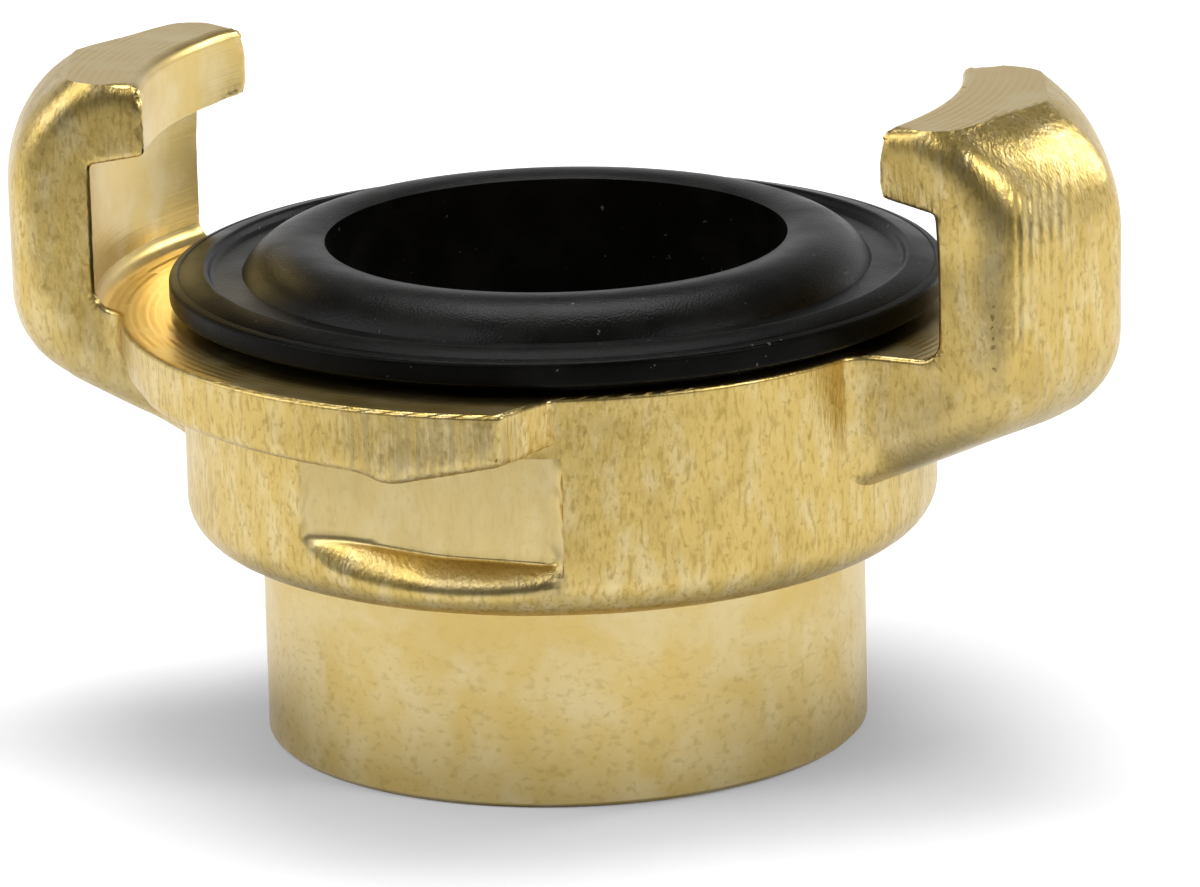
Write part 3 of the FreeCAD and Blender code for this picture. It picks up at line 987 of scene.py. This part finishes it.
def rounded_outline(corners):
    """Points (radius, height) along corners (radius, height, rounding), with arcs for the roundings."""
    points = []
    count = len(corners)
    for index, (radius, height, rounding) in enumerate(corners):
        here = Vector((radius, height))
        if not rounding:
            points.append(here)
            continue
        back = (Vector(corners[index - 1][:2]) - here).normalized()
        ahead = (Vector(corners[(index + 1) % count][:2]) - here).normalized()
        half_turn = back.angle(ahead) / 2
        centre = here + (back + ahead).normalized() * (rounding / sin(half_turn))
        start = here + back * (rounding / tan(half_turn)) - centre
        sweep = start.angle_signed(here + ahead * (rounding / tan(half_turn)) - centre)
        for step in range(CORNER_STEPS + 1):
            points.append(centre + Matrix.Rotation(-sweep * step / CORNER_STEPS, 2) @ start)
    return points


def arc(centre, rounding, start, end, steps):
    """Points (radius, height) along an arc, between two angles in degrees."""
    radius, height = centre
    angles = [radians(start + (end - start) * step / steps) for step in range(steps + 1)]
    return [Vector((radius + rounding * cos(a), height + rounding * sin(a))) for a in angles]


def lathe(name, outline):
    """A ring made by turning a closed outline of points (radius, height) about the axis."""
    count = len(outline)
    verts = []
    faces = []
    for turn in range(RING_SEGMENTS):
        angle = 2 * pi * turn / RING_SEGMENTS
        verts += [(p.x * cos(angle) * MM, p.x * sin(angle) * MM, p.y * MM) for p in outline]
        following = (turn + 1) % RING_SEGMENTS
        faces += [(turn * count + i, following * count + i, following * count + (i + 1) % count,
                   turn * count + (i + 1) % count) for i in range(count)]
    return smooth_mesh(name, verts, faces)


def seal_ring():
    """The profile seal: hub, lifted rim, groove and bead, with the soft edges of moulded rubber."""
    bead = arc(BEAD_CENTRE, BEAD_ROUNDING, BEAD_START_ANGLE, BEAD_END_ANGLE, BEAD_STEPS)
    outline = rounded_outline(SEAL_OUTLINE)[:-1] + bead + [Vector(BEAD_INNER_CORNER)]
    data = lathe("rubber_seal", outline)
    data.materials.append(rubber())
    piece = new_piece("rubber_seal", data)
    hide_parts("profile_seal")


def gasket_ring():
    """The flat gasket at the bottom of the thread."""
    data = lathe("rubber_gasket", rounded_outline(GASKET_OUTLINE))
    data.materials.append(rubber())
    piece = new_piece("rubber_gasket", data)
    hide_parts("thread_gasket")


def thread_ridge():
    """The internal pipe thread: one ridge with a rounded crest that winds up the bore and fades at both
    ends. Its root lies just inside the metal."""
    turns = (THREAD_END - THREAD_START) / THREAD_PITCH - 1
    steps = round(turns * THREAD_STEPS)
    root = THREAD_MAJOR_RADIUS + NEAR
    verts = []
    for step in range(steps + 1):
        angle = 2 * pi * step / THREAD_STEPS
        left = steps - step
        fade = min(1.0, step / THREAD_STEPS * THREAD_FADE, left / THREAD_STEPS * THREAD_FADE)
        middle = THREAD_START + THREAD_PITCH * (0.5 + step / THREAD_STEPS)
        for offset, rise in THREAD_SECTION:
            radius = root - (root - THREAD_MINOR_RADIUS) * rise * fade
            height = middle + offset * THREAD_PITCH
            verts.append((radius * cos(angle) * MM, radius * sin(angle) * MM, height * MM))
    count = len(THREAD_SECTION)
    faces = []
    for step in range(steps):
        low, high = step * count, (step + 1) * count
        faces += [(low + i, low + i + 1, high + i + 1, high + i) for i in range(count - 1)]
    data = smooth_mesh("pipe_thread", verts, faces)
    data.materials.append(turned_brass())
    new_piece("pipe_thread", data)


add_camera()
add_floor()
set_world()
for lamp in LAMPS:
    add_lamp(*lamp)
brass_body()
seal_ring()
gasket_ring()
thread_ridge()

bpy.context.scene.view_settings.view_transform = "Standard"
bpy.context.scene.cycles.caustics_reflective = False
